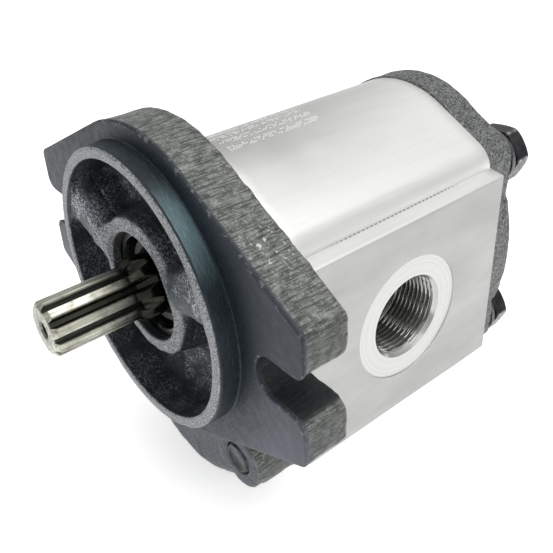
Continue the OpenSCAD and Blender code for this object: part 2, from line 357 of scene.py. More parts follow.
def lobe_field(x, y, z):
    """The part of the cover below the flange: a bevelled round face with a boss at each bolt."""
    disc_edge = disc(x, z, (0, -GEAR_GAP), ARCH_R)
    bevel = (disc_edge + LOBE_BEVEL - (y - LOBE_Y)) / math.sqrt(2)
    face = blend_both(np.maximum(disc_edge, bevel), LOBE_Y - y, 1.6)
    bosses = [disc(x, z, (side * BOLT_X, BOLT_LOW), BOLT_BOSS_R + 1) for side in (-1, 1)]
    bosses = blend_both(np.minimum(*bosses), LOBE_Y - y, 1.0)
    behind = blend_both(barrel(x, z), LOBE_Y + LOBE_BEVEL - y, 1.2)
    return blend_union(blend_union(face, bosses, 1.4), behind, 1.4)


def recess_field(x, y, z):
    """Pockets cast into the cover inside the pilot ring, round the seal and bolt bosses."""
    draft = 0.16 * (y - SEAL_BOSS_Y)
    bore = blend_both(np.hypot(x, z) - PILOT_BORE_R, y - POCKET_Y, 6.0)
    right = np.abs(x)
    bolt = disc(right, z, (BOLT_X, BOLT_TOP), BOLT_BOSS_R - 1.2) - draft
    reach = math.hypot(BOLT_X, BOLT_TOP)
    along = (right * BOLT_X + z * BOLT_TOP) / reach
    across = np.abs(z * BOLT_X - right * BOLT_TOP) / reach
    arm = np.where(along > reach, across - BOLT_BOSS_R + 2.2 - 0.3 * (along - reach), 50) - draft
    bolt = blend_union(bolt, arm, 4)
    bolt = blend_both(bolt, BOLT_BOSS_Y - y, 5)
    web = blend_both(np.where(along > 0, across - 3.6, 50) - draft, SEAL_BOSS_Y + 1.2 - y, 4)
    seal = blend_both(np.hypot(x, z) - SEAL_BOSS_R - 0.3 - draft, SEAL_BOSS_Y - y, 1.4)
    islands = blend_union(blend_union(bolt, seal, 7), web, 6)
    return blend_cut(bore, islands, 4)


def make_front_cover(step):
    """Flange, pilot ring, seal boss and lower lobe in one casting, with its bores cut sharp."""
    start = (-EAR_END, PILOT_FRONT, low("front_cover").z)
    end = (EAR_END, COVER_BACK, FLANGE_R)
    x, y, z = axes = grid_axes(start, end, step)
    radius = np.hypot(x, z)
    block = blend_union(flange_field(x, y, z), lobe_field(x, y, z), 3)
    block = np.maximum(block, y - COVER_BACK)
    bevel = (radius - PILOT_R + PILOT_FRONT + 0.8 - y) / math.sqrt(2)
    pilot = np.maximum(np.maximum(radius - PILOT_R, bevel), between(y, PILOT_FRONT, 1))
    block = np.minimum(block, pilot)
    field = blend_cut(block, recess_field(x, y, z), 1.0)

    on_land = (np.abs(radius - (PILOT_R + PILOT_BORE_R) / 2) < 2.2) & (y < -5.2)
    outside = np.clip((y - 0.5) / 1.2, 0, 1) * np.clip((COVER_BACK - 0.3 - y) / 0.8, 0, 1)
    inside = np.clip(y - PILOT_FRONT - 0.8, 0, 1) * np.clip((radius - SEAL_R - 0.4) / 1.5, 0, 1)
    outside = np.where(y < 0.3, 0, outside * np.ones_like(radius))
    cast = np.where(radius < PILOT_BORE_R + 0.3, inside, outside)
    cast = np.where(on_land, 0, cast).astype(np.float32)
    field = field + cast * unevenness(axes, (0.25, 9, 3), (0.22, 2.6, 5), (0.16, 1.1, 8))

    seal_bore = np.maximum(radius - SEAL_R, y - SEAL_SEAT_Y)
    ring_groove = np.maximum(radius - SEAL_R - 1, between(y, -0.35, 1.15))
    shaft_bore = radius - high("front_drive_bush").x + 1
    lead_in = (radius - SEAL_R - 0.5 + (y - SEAL_BOSS_Y)) / math.sqrt(2)
    for cut in (seal_bore, ring_groove, shaft_bore, np.maximum(lead_in, y - SEAL_BOSS_Y - 1.5)):
        field = np.maximum(field, -cut)
    for spot in BOLT_SPOTS:
        hole = disc(x, z, spot, BOLT_R + 0.25)
        if spot[1] > MID_Z:
            hole = np.maximum(hole, LOBE_Y - 1.5 - y)
        else:
            mouth = (disc(x, z, spot, BOLT_R + 0.7) + y - LOBE_Y) / math.sqrt(2)
            hole = np.minimum(hole, np.maximum(mouth, y - LOBE_Y - 1.5))
        field = np.maximum(field, -hole)
    away = [(axis - place) / width for axis, place, width in zip(axes, PIT_AT, PIT_WIDTHS)]
    pit = np.sqrt(sum(part ** 2 for part in away)) - PIT_R
    field = blend_cut(field, pit, 0.6)
    in_recess = np.clip((PILOT_BORE_R + 1.8 - radius) / 0.4, 0, 1) * np.clip((y + 5.9) / 0.3, 0, 1)
    on_ring = np.clip((-5.6 - y) / 0.5, 0, 1) * np.clip((radius - PILOT_BORE_R + 0.3) / 0.4, 0, 1)
    return field_object(
        "front_cover_casting", axes, field.astype(np.float32), step,
        cast=cast, recess=in_recess * np.ones_like(field), ring=on_ring * np.ones_like(field),
    )


def make_rear_cover(step):
    """Plate behind the body, its sides swelling at gear height, with four spot-faced bolt holes."""
    start = (-high("rear_cover").x, BODY_BACK, low("rear_cover").z)
    end = (high("rear_cover").x, REAR_BACK, high("rear_cover").z)
    x, y, z = axes = grid_axes(start, end, step)
    lobe_r = high("rear_cover").z
    outline = np.minimum(disc(x, z, (0, 0), lobe_r), disc(x, z, (0, -GEAR_GAP), lobe_r))
    outline = blend_union(barrel(x, z), outline, 0.8)
    pad = disc(np.abs(x), z, (high("rear_cover").x - PAD_R, MID_Z), PAD_R)
    pad = blend_both(pad, np.abs(z - MID_Z) - PAD_HALF_HEIGHT, 1.2)
    outline = blend_union(outline, np.maximum(pad, 20 - np.abs(x)), 2.0)
    field = blend_both(outline, y - REAR_BACK, 2.6)
    field = blend_both(field, BODY_BACK - y, 0.5)
    front = np.clip(y - BODY_BACK - 0.4, 0, 1)
    spot_face = np.ones_like(x * y * z)
    for spot in BOLT_SPOTS:
        spot_face = spot_face * np.clip(disc(x, z, spot, SPOT_FACE_R) / 0.8, 0, 1)
    behind = np.where(y > REAR_BACK - 1.5, spot_face, 1)
    cast = (front * behind).astype(np.float32)
    field = field + cast * unevenness(axes, (0.22, 7, 13), (0.18, 2.4, 15), (0.14, 1.1, 18))
    for spot in BOLT_SPOTS:
        field = np.maximum(field, -disc(x, z, spot, BOLT_R + 0.25))
    return field_object("rear_cover_casting", axes, field.astype(np.float32), step, cast=cast)


# ---- turned and extruded pieces ----

def ring_mesh(rows, closed_ends=True):
    """Points and faces of a tube through rows of points, each row a closed loop of equal length."""
    count = len(rows[0])
    points = np.concatenate(rows)
    faces = []
    for i in range(len(rows) - 1):
        a = i * count + np.arange(count)
        b = i * count + (np.arange(count) + 1) % count
        faces += np.stack([a, b, b + count, a + count], 1).tolist()
    if closed_ends:
        faces.append(list(range(count))[::-1])
        faces.append([(len(rows) - 1) * count + i for i in range(count)])
    return points, faces


def along_y(radius, angle, y, centre=(0, 0)):
    """A loop about an axis parallel to Y."""
    ones = np.ones_like(angle)
    return np.stack([
        centre[0] + radius * np.cos(angle), y * ones, centre[1] + radius * np.sin(angle)
    ], 1)


def turns(count):
    """Evenly spaced angles round a full turn, in radians."""
    return np.linspace(0, 2 * math.pi, count + 1)[:-1]


def joined(meshes):
    """Points and faces of several meshes as those of one."""
    points, faces = [], []
    for more_points, more_faces in meshes:
        faces += [[i + sum(map(len, points)) for i in face] for face in more_faces]
        points.append(more_points)
    return np.concatenate(points), faces


def turned_object(name, mesh, degrees, **attributes):
    """Object from ring meshes whose rows run along +Y, sharp where its faces meet at an angle."""
    piece = mesh_object(name, *mesh)
    piece.data.flip_normals()
    for key, values in attributes.items():
        add_attribute(piece, key, np.concatenate(values))
    sharp_by_angle(piece, degrees)
    return piece


def spaced(values, gap):
    """The values with others filled in between them, at most gap apart."""
    filled = [values[0]]
    for a, b in zip(values, values[1:]):
        count = max(1, math.ceil(abs(b - a) / gap))
        filled += [a + (b - a) * i / count for i in range(1, count + 1)]
    return filled


def arc_points(centre, radius, start, end, gap=3):
    """Points on an arc in the XZ plane; angles in degrees from +X towards +Z."""
    count = max(2, int(abs(end - start) / gap))
    angles = np.radians(np.linspace(start, end, count + 1))
    return [(centre[0] + radius * math.cos(a), centre[1] + radius * math.sin(a)) for a in angles]


def body_outline():
    """Loop round the body from +X upwards, made from one quarter. The ledge falls
    a little towards the port face."""
    slope = math.degrees(SLOPE)
    drop = 0.55
    corner = 0.7
    side_x = SHOULDER_X + math.sqrt(SHOULDER_R ** 2 - (LEDGE_Z + drop - SHOULDER_Z) ** 2)
    turn = math.degrees(math.asin((LEDGE_Z + drop - SHOULDER_Z) / SHOULDER_R))
    quarter = [(PORT_FACE_X, MID_Z), (PORT_FACE_X, LEDGE_Z - corner)]
    quarter += arc_points((PORT_FACE_X - corner, LEDGE_Z - corner), corner, 20, 84, 20)
    quarter += [(side_x + 1.0, LEDGE_Z + drop * 0.8), (side_x + 0.2, LEDGE_Z + drop)]
    quarter += arc_points((SHOULDER_X, SHOULDER_Z), SHOULDER_R, turn, 90 - slope)
    quarter += arc_points((0, 0), ARCH_R, 90 - slope, 90)
    left = [(-x, z) for x, z in quarter[-2::-1]]
    upper = quarter + left[:-1]
    lower = [(x, 2 * MID_Z - z) for x, z in upper[:0:-1]]
    loop = upper + [(-PORT_FACE_X, MID_Z)] + lower
    return np.array([loop[0]] + [p for q, p in zip(loop, loop[1:]) if math.dist(p, q) > 1e-4])


def inset_loop(loop, inward):
    """The loop moved inwards by a distance, each point along the mean of its two edges' normals."""
    ahead = np.roll(loop, -1, 0) - loop
    ahead /= np.linalg.norm(ahead, axis=1)[:, None]
    behind = np.roll(ahead, 1, 0)
    mean = ahead + behind
    mean /= np.linalg.norm(mean, axis=1)[:, None]
    stretch = 1 / np.maximum((mean * ahead).sum(1), 0.5)
    return loop + inward * stretch[:, None] * np.stack([-mean[:, 1], mean[:, 0]], 1)


def cut_with(piece, cutter):
    """Takes a closed cutter out of a piece for good, and removes the cutter."""
    modifier = piece.modifiers.new("cut", "BOOLEAN")
    modifier.operation = "DIFFERENCE"
    modifier.solver = "MANIFOLD"
    modifier.object = cutter
    bpy.context.view_layer.update()
    shown = piece.evaluated_get(bpy.context.evaluated_depsgraph_get())
    mesh = bpy.data.meshes.new_from_object(shown)
    piece.modifiers.clear()
    piece.data = mesh
    bpy.data.objects.remove(cutter)


def sharp_by_angle(piece, degrees):
    piece.data.shade_smooth()
    piece.data.set_sharp_from_angle(angle=math.radians(degrees))


def figure_eight(radius):
    """Loop round two overlapping circles on the gear axes."""
    waist = math.degrees(math.asin(-MID_Z / radius))
    upper = arc_points((0, 0), radius, -waist, 180 + waist, 3)
    lower = arc_points((0, -GEAR_GAP), radius, 180 - waist, 360 + waist, 3)
    return np.array(upper + lower[1:-1])


def row_at(loop, y):
    return np.stack([loop[:, 0], np.full(len(loop), y), loop[:, 1]], 1)


def port_cutter(side):
    """Seat, lead-in bevel, thread and drilling of one port, as one closed tool."""
    angle = turns(96)
    bevel = 1.1
    rows = [(-1, SEAT_R), (SEAT_DEEP - 0.001, SEAT_R)]
    rows += [(SEAT_DEEP, PORT_R + bevel), (SEAT_DEEP + bevel, PORT_R + 0.1)]
    thread = np.arange(SEAT_DEEP + bevel, PORT_DEPTH - 1.5, THREAD_PITCH / 10)[1:]
    for depth in thread:
        phase = (depth / THREAD_PITCH - angle / (2 * math.pi)) % 1
        wave = np.clip(1.5 - 3 * np.abs(phase - 0.5), 0, 1)
        fade = min(1, (depth - thread[0]) / 1.0, (thread[-1] - depth) / 1.0)
        rows.append((depth, PORT_R + THREAD_DEPTH * fade * wave))
    rows += [(PORT_DEPTH - 1.3, PORT_R), (PORT_DEPTH, PORT_R)]
    rows += [(PORT_DEPTH, DRILLING_R), (PORT_FACE_X - 5, DRILLING_R)]
    loops = [
        np.stack([
            side * (PORT_FACE_X - depth) * np.ones_like(angle),
            MID_Y + radius * np.cos(angle), MID_Z + side * radius * np.sin(angle),
        ], 1)
        for depth, radius in rows
    ]
    return mesh_object("port_cutter", *ring_mesh(loops[::-1]))


def make_body():
    """The extrusion with its gear chamber, bolt holes and both ports cut out."""
    loop = body_outline()
    rim = 0.45
    stations = [COVER_BACK, COVER_BACK + rim * 0.3, COVER_BACK + rim]
    stations += spaced([COVER_BACK + rim, BODY_BACK - rim], 4)[1:]
    stations += [BODY_BACK - rim * 0.3, BODY_BACK]
    insets = [rim, rim * 0.3] + [0] * (len(stations) - 4) + [rim * 0.3, rim]
    rows = [row_at(inset_loop(loop, inward), y) for y, inward in zip(stations, insets)]
    body = mesh_object("body_extrusion", *ring_mesh(rows[::-1]))
    through = (BODY_BACK + 1, COVER_BACK - 1)
    chamber = [row_at(figure_eight(CHAMBER_R), y) for y in through]
    cut_with(body, mesh_object("chamber", *ring_mesh(chamber)))
    angle = turns(48)
    for spot in BOLT_SPOTS:
        hole = [along_y(BOLT_R + 0.25, angle, y, spot) for y in through]
        cut_with(body, mesh_object("bolt_hole", *ring_mesh(hole)))
    for side in (-1, 1):
        cut_with(body, port_cutter(side))
    sharp_by_angle(body, 32)
    return body


def gear_radius(angle):
    """Radius of a gear's involute outline at each angle, with a tooth at angle zero."""
    pitch_r = GEAR_GAP / 2
    root_r = GEAR_GAP - GEAR_TIP_R - 0.45
    base_r = pitch_r * math.cos(math.radians(20))
    radii = np.linspace(base_r, GEAR_TIP_R, 12)
    roll = np.sqrt((radii / base_r) ** 2 - 1)
    flank = math.radians(90 / GEAR_TEETH - 0.5) + math.tan(math.radians(20)) - math.radians(20)
    half = flank - (roll - np.arctan(roll))
    half_tooth = math.pi / GEAR_TEETH
    spot = np.abs((angle + half_tooth) % (2 * half_tooth) - half_tooth)
    outline = np.interp(spot, half[::-1], radii[::-1])
    return np.where(spot > half[0], np.maximum(root_r, base_r - (spot - half[0]) * 60), outline)


def make_drive_shaft():
    """The shaft with its gear in one piece. Its points carry how deep in a spline groove they are."""
    angle = turns(720)
    tip = SHAFT_TIP
    gear_front, gear_back = MID_Y - GEAR_WIDTH / 2, MID_Y + GEAR_WIDTH / 2
    back = high("drive_gear_shaft").y
    place = (angle / (2 * math.pi) * SPLINE_TEETH + 0.5) % 1
    across = np.abs(place - 0.5) * 2 * math.pi * SPLINE_R / SPLINE_TEETH
    rows = [along_y(radius, angle, tip + depth) for radius, depth in CENTRE_HOLE]
    valley = [0.4 + 0 * angle for _ in CENTRE_HOLE]
    stations = spaced([tip, tip + 1.4], 0.2) + spaced([tip + 1.4, -10], 1.2)[1:]
    for y in stations + spaced([-10, 4], 0.3)[1:]:
        neck = [SPLINE_R, SPLINE_R + 0.12, JOURNAL_R - 0.12, JOURNAL_R]
        outside = np.interp(y, [-8.2, -7.6, -4.8, -4.2], neck)
        end = max(0, tip + 1.25 - y)
        outside = outside - end * 0.95
        floor = SPLINE_ROOT_R + max(0, y + 6.5) * math.tan(math.radians(28))
        wall = floor + np.maximum(across - 0.72, 0) * 1.75 + np.maximum(across - 1.6, 0) * 8
        softened = -np.logaddexp(-wall * 9, -outside * 9) / 9
        radius = np.minimum(softened, outside)
        rows.append(along_y(radius, angle, y))
        valley.append(np.clip((outside - radius - 0.12) / 1.1, 0, 1))
    gear = gear_radius(angle - math.pi / 2)
    journal = JOURNAL_R + 0 * angle
    plain = [(gear_front, journal), (gear_front, gear), (gear_back, gear), (gear_back, journal)]
    plain += [(back - 0.5, journal), (back, journal - 0.5)]
    rows += [along_y(radius, angle, y) for y, radius in plain]
    valley += [0 * angle for _ in plain]
    return turned_object("splined_drive_shaft", ring_mesh(rows), 38, valley=valley)


def make_bolts():
    """Four bolts: a six-sided head with a turned chamfer, a shank and a chamfered tip. Their
    points carry how near they are to an edge of the head."""
    angle = turns(180)
    sixth = (angle - math.radians(BOLT_TURN)) % (math.pi / 3) - math.pi / 6
    corner_r = BOLT_FLATS / math.cos(math.pi / 6)
    hexagon = -np.logaddexp(-BOLT_FLATS / np.cos(sixth) * 7, -(corner_r - 0.02) * 7) / 7
    ridge = np.clip((hexagon / corner_r - 0.955) / 0.03, 0, 1)
    front = WASHER_BACK
    sides = spaced([front + 0.35, BOLT_BACK - 2.2], 2) + spaced([BOLT_BACK - 2.2, BOLT_BACK], 0.12)[1:]
    bolts, worn = [], []
    for spot in BOLT_SPOTS:
        shank = [(BOLT_R - 1.6, LOBE_Y + 0.35), (BOLT_R - 1.0, LOBE_Y), (BOLT_R - 0.7, LOBE_Y + 0.06)]
        shank += [(BOLT_R, LOBE_Y + 0.9), (BOLT_R, front)]
        shank += [(BOLT_FLATS - 0.4, front), (BOLT_FLATS - 0.3, front + 0.35)]
        rows = [along_y(radius, angle, y, spot) for radius, y in shank]
        wear = [0 * angle for _ in shank]
        for y in sides:
            chamfer = BOLT_FLATS + 0.25 + (BOLT_BACK - y) * 1.25
            rows.append(along_y(-np.logaddexp(-hexagon * 6, -chamfer * 6) / 6, angle, y, spot))
            wear.append(np.maximum(ridge, np.clip(1 - np.abs(hexagon - chamfer) / 0.25, 0, 1)))
        rows += [along_y(BOLT_FLATS - 0.25, angle, BOLT_BACK, spot)]
        rows += [along_y(BOLT_FLATS - 2.2, angle, BOLT_BACK, spot)]
        wear += [1 + 0 * angle, 0 * angle]
        bolts.append(ring_mesh(rows))
        worn += wear
    return turned_object("through_bolt_set", joined(bolts), 35, worn=worn)


def make_washers():
    angle = turns(96)
    inner, outer = BOLT_R + 0.2, WASHER_R
    front, back = REAR_BACK, WASHER_BACK
    profile = [
        (inner, front), (outer - 0.25, front), (outer, front + 0.25), (outer, back - 0.35),
        (outer - 0.35, back), (inner + 0.3, back), (inner, back - 0.3), (inner, front),
    ]
    washers = [
        ring_mesh([along_y(radius, angle, y, spot) for radius, y in profile], closed_ends=False)
        for spot in BOLT_SPOTS
    ]
    return turned_object("washer_set", joined(washers), 35)


# ---- materials ----

class Nodes:
    """A tree whose nodes are added one at a time. Inputs are numbers, colours or sockets."""

    def __init__(self, owner):
        owner.use_nodes = True
        self.tree = owner.node_tree

    def add(self, kind, inputs=None, **settings):
        node = self.tree.nodes.new(kind)
        for key, value in settings.items():
            setattr(node, key, value)
        for key, value in (inputs or {}).items():
            self.plug(node.inputs[key], value)
        return node

    def plug(self, socket, value):
        if isinstance(value, bpy.types.NodeSocket):
            self.tree.links.new(value, socket)
        else:
            socket.default_value = value

    def ramp(self, value, start, end, low=0.0, high=1.0):
        inputs = {0: value, 1: start, 2: end, 3: low, 4: high}
        return self.add("ShaderNodeMapRange", inputs).outputs[0]


class Paint(Nodes):
    """The nodes of a new material."""

    def __init__(self, name, metallic=0.0):
        self.material = bpy.data.materials.new(name)
        super().__init__(self.material)
        self.shader = self.tree.nodes["Principled BSDF"]
        self.shader.inputs["Metallic"].default_value = metallic
        self.place = self.add("ShaderNodeTexCoord").outputs["Object"]

    def noise(self, scale, detail, stretch=(1, 1, 1)):
        vector = self.add("ShaderNodeMapping", {"Vector": self.place, "Scale": stretch}).outputs[0]
        inputs = {"Vector": vector, "Scale": scale, "Detail": detail, "Roughness": 0.55}
        return self.add("ShaderNodeTexNoise", inputs).outputs["Fac"]

    def math(self, operation, a, b=0.0):
        return self.add("ShaderNodeMath", {0: a, 1: b}, operation=operation).outputs[0]

    def product(self, *parts):
        total = parts[0]
        for part in parts[1:]:
            total = self.math("MULTIPLY", total, part)
        return total

    def band(self, value, start, end, soft):
        """One where the value lies between start and end, falling to zero outside."""
        rise = self.ramp(value, start - soft, start)
        fall = self.ramp(value, end, end + soft, 1, 0)
        return self.product(rise, fall)

    def reach(self, first, second):
        """Length of the vector with these two parts."""
        squares = [self.product(part, part) for part in (first, second)]
        return self.math("SQRT", self.math("ADD", *squares))

    def rest(self, share):
        return self.math("SUBTRACT", 1, share)

    def gritty(self, low, high):
        """Roughness that changes from spot to spot, as on iron."""
        grit = self.math("ADD", self.noise(330, 3), self.noise(2600, 2))
        return self.ramp(grit, 0.7, 1.3, low, high)

    def rubbed_edge(self, share):
        """Broken patches along the edges that stick out most."""
        edge = self.ramp(self.attribute("edge"), 0.3, 0.65)
        return self.product(edge, self.ramp(self.noise(560, 4), 0.56, 0.66, 0, share))

    def patchy(self, scale, detail, start, end, a, b):
        """One colour with patches or flecks of another."""
        return self.mix(self.ramp(self.noise(scale, detail), start, end), a, b)

    def mix(self, share, a, b):
        node = self.add("ShaderNodeMix", data_type="RGBA")
        self.plug(node.inputs[0], share)
        self.plug(node.inputs[6], a if isinstance(a, bpy.types.NodeSocket) else (*a, 1))
        self.plug(node.inputs[7], b if isinstance(b, bpy.types.NodeSocket) else (*b, 1))
        return node.outputs[2]

    def attribute(self, name):
        return self.add("ShaderNodeAttribute", attribute_name=name).outputs["Fac"]

    def axis(self, name):
        return self.add("ShaderNodeSeparateXYZ", {"Vector": self.place}).outputs[name]

    def facing(self, name):
        normal = self.add("ShaderNodeNewGeometry").outputs["Normal"]
        local = self.add(
            "ShaderNodeVectorTransform", {"Vector": normal},
            vector_type="NORMAL", convert_from="WORLD", convert_to="OBJECT",
        ).outputs[0]
        return self.add("ShaderNodeSeparateXYZ", {"Vector": local}).outputs[name]

    def finish(self, colour, roughness, *bumps):
        """Bumps are pairs of a height and the depth in millimetres that a height of one stands for."""
        self.plug(self.shader.inputs["Base Color"], colour)
        self.plug(self.shader.inputs["Roughness"], roughness)
        normal = None
        for height, depth in bumps:
            inputs = {"Height": height, "Distance": depth * MM, "Strength": 1.0}
            if normal is not None:
                inputs["Normal"] = normal
            normal = self.add("ShaderNodeBump", inputs).outputs[0]
        if normal is not None:
            self.plug(self.shader.inputs["Normal"], normal)
        return self.material


def times(colour, factor):
    return tuple(min(1, part * factor) for part in colour)


def cast_iron_paint(name, face, skin, streaked=False):
    """Sand-cast iron under a thin oxide: its paint, colour, how cast each spot is and its relief."""
    paint = Paint(name, metallic=0.25)
    cast = paint.ramp(paint.attribute("cast"), 0.1, 0.9)
    speckle = paint.noise(1900, 2)
    machined = paint.patchy(90, 5, 0.35, 0.65, face, times(face, 1.5))
    machined = paint.mix(paint.ramp(speckle, 0.58, 0.75, 0, 0.4), machined, times(face, 3))
    sand = paint.patchy(420, 4, 0.35, 0.65, times(skin, 0.6), times(skin, 1.5))
    sand = paint.mix(paint.ramp(speckle, 0.50, 0.66, 0, 0.5), sand, times(skin, 2.6))
    relief = paint.noise(900, 4)
    if streaked:
        streaks = paint.noise(2300, 3, (1, 0.08, 1))
        sand = paint.mix(paint.ramp(streaks, 0.54, 0.40, 0, 0.75), sand, times(skin, 0.25))
        relief = paint.math("ADD", relief, paint.product(streaks, 0.8))
    return paint, paint.mix(cast, machined, sand), cast, relief


def chipped(paint, colour, where, edge_share, chip):
    """Adds small bright chips along worn edges and in one cluster on the flange's right slope."""
    offset = [paint.math("SUBTRACT", paint.axis(name), place * MM) for name, place in zip("XYZ", CHIPS_AT)]
    away = paint.reach(paint.reach(offset[0], offset[2]), offset[1])
    cluster = paint.product(paint.ramp(away, 0.009, 0.003), paint.ramp(paint.attribute("cast"), 0.7, 0.95))
    chips = paint.product(cluster, paint.ramp(paint.noise(800, 3), 0.60, 0.64, 0, 0.85))
    chips = paint.math("MAXIMUM", paint.rubbed_edge(edge_share), chips)
    return paint.mix(paint.product(where, chips), colour, chip)


def front_iron_paint():
    """The front cover: grey streaked edges, a darker machined face, and painted light and shade: dark
    reflection near the pilot, towards the top and on front-facing cast faces, shade on sideways faces, in
    the slots and over the near-black recess, and a highlight on the pilot.
    """
    paint, colour, cast, relief = cast_iron_paint(
        "cast_iron_cover", (0.040, 0.051, 0.067), (0.150, 0.158, 0.146), streaked=True)
    # Machined face colour: near-black close to the pilot, which is painted dark reflection, and a
    # purple-grey tone with light flecks further out.
    from_pilot = paint.reach(paint.axis("X"), paint.axis("Z"))
    far = paint.math("ADD", from_pilot, paint.product(paint.noise(60, 3), 0.010))
    far = paint.ramp(far, 0.0505, 0.063)
    face_tone_with_painted_reflection = paint.mix(far, (0.020, 0.030, 0.042), (0.115, 0.122, 0.152))
    face_tone_with_painted_reflection = paint.mix(paint.ramp(paint.noise(1500, 3), 0.5, 0.68, 0, 0.45), face_tone_with_painted_reflection, (0.17, 0.18, 0.20))
    colour = paint.mix(paint.math("SUBTRACT", 0.9, cast), colour, face_tone_with_painted_reflection)
    recess = paint.ramp(paint.attribute("recess"), 0.3, 0.8)
    ring = paint.ramp(paint.attribute("ring"), 0.4, 0.7)
    front = paint.ramp(paint.facing("Y"), -0.55, -0.92)
    height = paint.math("ADD", paint.axis("Z"), paint.product(paint.noise(40, 2), 0.02))
    # Cast surfaces facing the front, outside the recess, get a darker bluish mottle: painted dark
    # reflection.
    plain = paint.product(front, cast, paint.rest(recess))
    painted_front_reflection = paint.patchy(1500, 3, 0.42, 0.62, (0.052, 0.062, 0.078), (0.115, 0.127, 0.145))
    colour = paint.mix(paint.product(plain, 0.85), colour, painted_front_reflection)
    out, up = (paint.math("ABSOLUTE", paint.axis(name)) for name in "XZ")
    # Cast surfaces facing sideways are made darker: painted shade.
    side_facing_shade = paint.product(paint.ramp(paint.math("ABSOLUTE", paint.facing("X")), 0.8, 0.97), cast)
    colour = paint.mix(paint.product(side_facing_shade, 0.45), colour, (0.030, 0.033, 0.034))
    # The cast walls inside the ear slots are painted near-black: painted shade.
    slot = paint.product(
        paint.band(out, (SLOT_X - 6) * MM, (EAR_END - 2.2) * MM, MM),
        paint.ramp(up, (SLOT_R + 1.4) * MM, (SLOT_R + 0.6) * MM), cast)
    colour = paint.mix(paint.product(slot, 0.96), colour, (0.016, 0.021, 0.022))
    # Machined surfaces are made darker towards the top: painted dark reflection, not an oxide.
    oxide = paint.product(paint.ramp(height, -0.022, 0.012), paint.rest(cast), 0.8)
    colour = paint.mix(oxide, colour, (0.008, 0.013, 0.018))
    pilot = paint.ramp(paint.axis("Y"), -0.0002, -0.0008)
    wipe = paint.ramp(paint.noise(1500, 3, (0.25, 2.5, 0.25)), 0.4, 0.7)
    pilot_colour = paint.mix(wipe, (0.010, 0.016, 0.021), (0.026, 0.038, 0.048))
    # A teal band on the pilot where its normal points up and to the right: a painted highlight.
    painted_highlight = paint.math("ADD", paint.product(paint.facing("X"), 0.67), paint.product(paint.facing("Z"), 0.742))
    painted_highlight = paint.math("POWER", paint.ramp(painted_highlight, 0.92, 1.0, 0, 0.85), 2.0)
    painted_highlight = paint.product(painted_highlight, paint.ramp(wipe, 0, 1, 0.6, 1))
    pilot_colour = paint.mix(painted_highlight, pilot_colour, (0.17, 0.27, 0.29))
    colour = paint.mix(pilot, colour, pilot_colour)
    # The recess is painted near-black as painted shade, and lighter on its front-facing surfaces as painted
    # light, with bright grains that are denser on those surfaces.
    grains = paint.ramp(paint.noise(1700, 2), 0.50, 0.57)
    patches = paint.ramp(paint.noise(150, 4), 0.42, 0.58, 0.08, 1)
    share = paint.product(grains, patches, paint.ramp(front, 0, 1, 0.3, 1))
    floor = paint.mix(front, (0.020, 0.025, 0.029), (0.046, 0.055, 0.063))
    colour = paint.mix(recess, colour, paint.mix(share, floor, (0.38, 0.40, 0.43)))
    boss = paint.product(paint.band(from_pilot, SEAL_R * MM, (SEAL_BOSS_R + 0.2) * MM, 0.0008), front)
    rubbed = paint.patchy(2100, 4, 0.42, 0.62, (0.05, 0.055, 0.06), (0.36, 0.37, 0.38))
    colour = paint.mix(paint.product(boss, 0.85), colour, rubbed)
    land = paint.patchy(1900, 3, 0.4, 0.62, (0.10, 0.106, 0.115), (0.34, 0.35, 0.36))
    colour = paint.mix(ring, colour, land)
    plate = paint.product(paint.rest(recess), paint.rest(pilot))
    colour = chipped(paint, colour, plate, 0.15, (0.62, 0.63, 0.60))
    paint.shader.inputs["Specular IOR Level"].default_value = 0.28
    outside = paint.rest(paint.product(recess, 0.5))
    sand_relief = paint.product(relief, paint.math("MAXIMUM", cast, 0.12), outside)
    return paint.finish(colour, paint.gritty(0.34, 0.6), (sand_relief, 0.30), (paint.noise(1900, 3), 0.06))


def rear_iron_paint():
    """The rear cover: bare grey iron with a coarse dark and bright grain."""
    paint, colour, cast, relief = cast_iron_paint(
        "cast_iron_rear", (0.09, 0.09, 0.09), (0.098, 0.104, 0.10))
    grain = paint.noise(1500, 3)
    colour = paint.mix(paint.product(paint.ramp(grain, 0.46, 0.40), 0.8), colour, (0.020, 0.023, 0.022))
    colour = paint.mix(paint.product(paint.ramp(grain, 0.54, 0.62), 0.7), colour, (0.30, 0.31, 0.30))
    colour = paint.mix(paint.rubbed_edge(0.35), colour, (0.40, 0.40, 0.38))
    return paint.finish(
        colour, paint.gritty(0.42, 0.66), (paint.product(relief, cast), 0.55), (paint.noise(1300, 3), 0.16))


